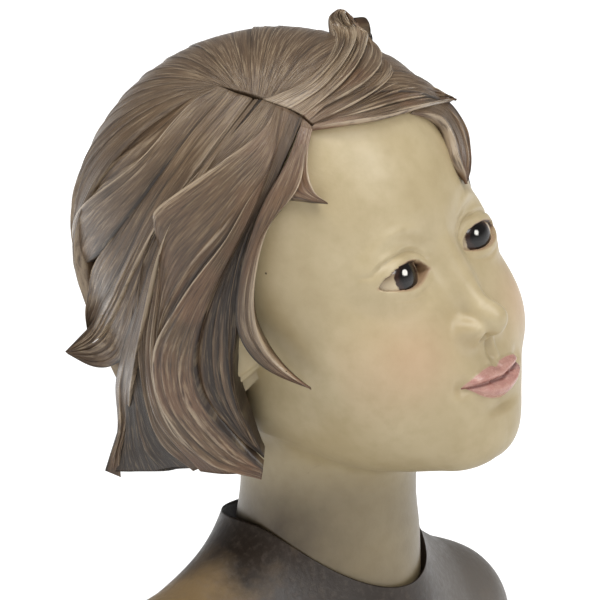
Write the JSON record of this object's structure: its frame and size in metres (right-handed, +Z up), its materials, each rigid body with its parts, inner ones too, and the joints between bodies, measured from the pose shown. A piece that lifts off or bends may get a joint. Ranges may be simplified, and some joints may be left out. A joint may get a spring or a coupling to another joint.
{
  "type": "painted resin bust of a girl",
  "caption": "Painted cast resin bust of a girl with a wind-blown bob and a round-necked shirt, cut flat below the shoulders.",
  "frame": {"origin": "centre of the bounding box, on the flat underside", "axes": "+Z up, the bust's chest faces -Y, her right side is at -X"},
  "size_m": [0.0976, 0.0827, 0.1394],
  "materials": {
    "painted_resin": "hand-painted cast resin: khaki skin, grey-brown hair with wiped highlights, dark brown shirt"
  },
  "bodies": {
    "root": {"girl_bust": "painted_resin"}
  },
  "joints": []
}
